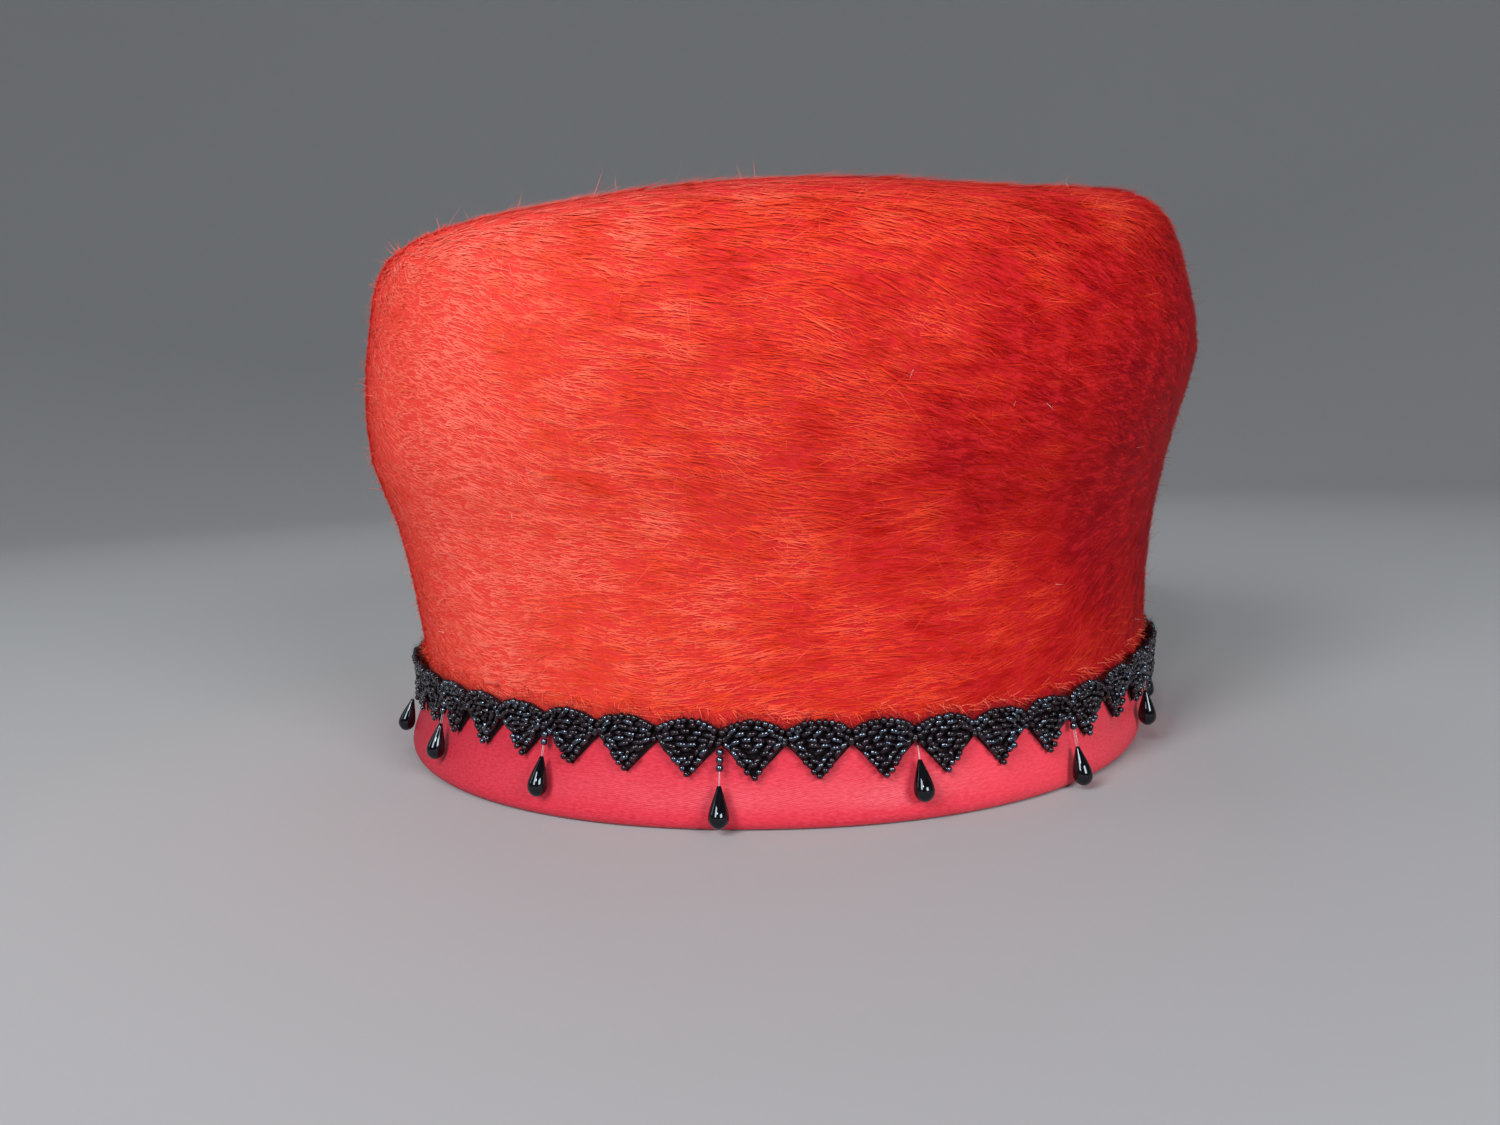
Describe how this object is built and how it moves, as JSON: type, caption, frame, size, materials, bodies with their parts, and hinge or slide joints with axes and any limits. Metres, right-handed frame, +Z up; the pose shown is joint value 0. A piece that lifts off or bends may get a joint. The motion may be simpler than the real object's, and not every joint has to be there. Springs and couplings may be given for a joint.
{
  "type": "fur hat",
  "caption": "Brimless fur felt hat with a flared crown, a folded satin rim band, a scalloped bead braid and hanging drop beads.",
  "frame": {"origin": "on the plane that the rim rests on, under the middle of the crown's box", "axes": "+Z up through the tip, -Y the front that the picture shows, +X the side where the crown stands highest"},
  "size_m": [0.1954, 0.224, 0.1177],
  "materials": {
    "fur_felt": "long-haired velour fur, brushed flat",
    "satin": "polyester satin, soft sheen",
    "jet_beads": "polished black glass beads",
    "clear_thread": "clear nylon thread with small black stop beads"
  },
  "bodies": {
    "root": {"crown": "fur_felt", "satin_band": "satin", "bead_braid": "jet_beads", "drop_bead_01": "jet_beads", "drop_bead_02": "jet_beads", "drop_bead_03": "jet_beads", "drop_bead_04": "jet_beads", "drop_bead_05": "jet_beads", "drop_bead_06": "jet_beads", "drop_bead_07": "jet_beads", "drop_bead_08": "jet_beads", "drop_bead_09": "jet_beads", "drop_bead_10": "jet_beads", "drop_bead_11": "jet_beads", "drop_bead_12": "jet_beads", "drop_bead_13": "jet_beads", "drop_bead_14": "jet_beads", "drop_bead_15": "jet_beads", "drop_bead_16": "jet_beads", "drop_bead_17": "jet_beads", "drop_thread_01": "clear_thread", "drop_thread_02": "clear_thread", "drop_thread_03": "clear_thread", "drop_thread_04": "clear_thread", "drop_thread_05": "clear_thread", "drop_thread_06": "clear_thread", "drop_thread_07": "clear_thread", "drop_thread_08": "clear_thread", "drop_thread_09": "clear_thread", "drop_thread_10": "clear_thread", "drop_thread_11": "clear_thread", "drop_thread_12": "clear_thread", "drop_thread_13": "clear_thread", "drop_thread_14": "clear_thread", "drop_thread_15": "clear_thread", "drop_thread_16": "clear_thread", "drop_thread_17": "clear_thread"}
  },
  "joints": []
}
